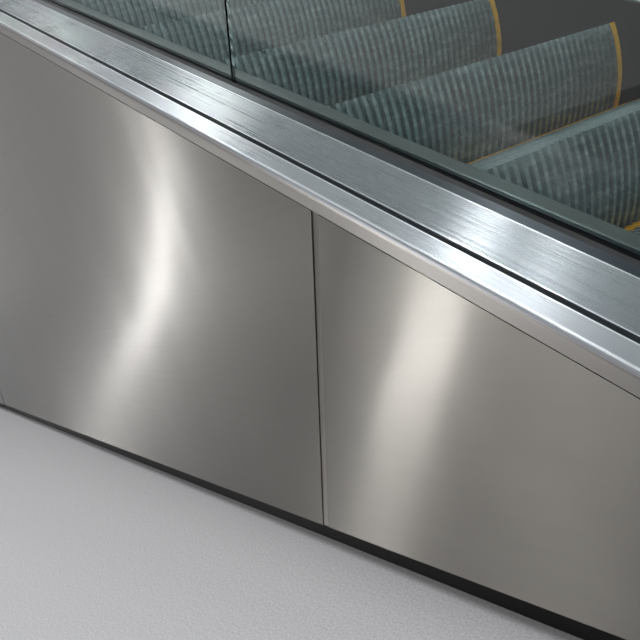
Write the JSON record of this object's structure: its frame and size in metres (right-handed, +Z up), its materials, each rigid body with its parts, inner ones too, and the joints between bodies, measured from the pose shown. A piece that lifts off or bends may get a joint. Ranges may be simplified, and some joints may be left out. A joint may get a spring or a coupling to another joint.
{
  "type": "escalator",
  "caption": "Escalator between two landings, with cleated steps, glass balustrades, rubber handrails, brushed steel decks and steel side cladding down to the floor.",
  "frame": {"origin": "on the floor under the machine, on its centreline, below the comb line of the lower landing", "axes": "+X up the escalator, +Y to the left of a rider going up, +Z up"},
  "size_m": [9.4598, 1.588, 3.81],
  "materials": {
    "structure_paint": "grey primer on rolled steel",
    "plinth_paint": "matte black",
    "track_steel": "plain rolled steel, running marks",
    "roller_plastic": "dark polyurethane",
    "step_casting": "dark slate grey cast, satin",
    "edge_yellow": "yellow moulded insert, slightly worn",
    "skirt_black": "black low-friction coat, satin",
    "inner_deck_steel": "brushed lengthwise, shaded grey-green",
    "channel_metal": "dark anodised",
    "gasket_rubber": "matte black",
    "pane_glass": "clear, slightly green, polished edges",
    "deck_steel": "brushed lengthwise, bluish silver",
    "trim_steel": "brushed lengthwise, bright rounded edge",
    "cladding_steel": "horizontal brushing, warm grey",
    "strip_steel": "upright brushing, warm grey",
    "guide_steel": "satin rolled profile",
    "handrail_rubber": "smooth black, soft shine",
    "inlet_plastic": "fine-grained black",
    "cap_steel": "brushed upright",
    "landing_metal": "etched, fine cross lines",
    "comb_metal": "cast, satin"
  },
  "bodies": {
    "root": {"base_pan": "structure_paint", "plinth": "plinth_paint", "truss_left": "structure_paint", "truss_right": "structure_paint", "cross_beams": "structure_paint", "deck_brackets": "structure_paint", "step_tracks": "track_steel", "step_rollers": "roller_plastic", "steps_lower_level": "step_casting", "steps_lower_incline": "step_casting", "steps_mid_incline": "step_casting", "steps_upper_incline": "step_casting", "steps_upper_level": "step_casting", "step_edges": "edge_yellow", "skirt_left": "skirt_black", "skirt_right": "skirt_black", "inner_deck_left": "inner_deck_steel", "inner_deck_right": "inner_deck_steel", "glass_channel_left": "channel_metal", "glass_channel_right": "channel_metal", "glass_gaskets": "gasket_rubber", "glass_left": "pane_glass", "glass_right": "pane_glass", "outer_deck_left": "deck_steel", "outer_deck_right": "deck_steel", "edge_trim_left": "trim_steel", "edge_trim_right": "trim_steel", "cladding_left": "cladding_steel", "cladding_right": "cladding_steel", "joint_strips": "strip_steel", "end_wall": "cladding_steel", "handrail_guide_left": "guide_steel", "handrail_guide_right": "guide_steel", "handrail_left": "handrail_rubber", "handrail_right": "handrail_rubber", "handrail_inlets": "inlet_plastic", "newel_caps": "cap_steel", "landing_frame_lower": "structure_paint", "landing_frame_upper": "structure_paint", "floor_plate_lower": "landing_metal", "floor_plate_upper": "landing_metal", "comb_lower": "comb_metal", "comb_upper": "comb_metal"}
  },
  "joints": []
}
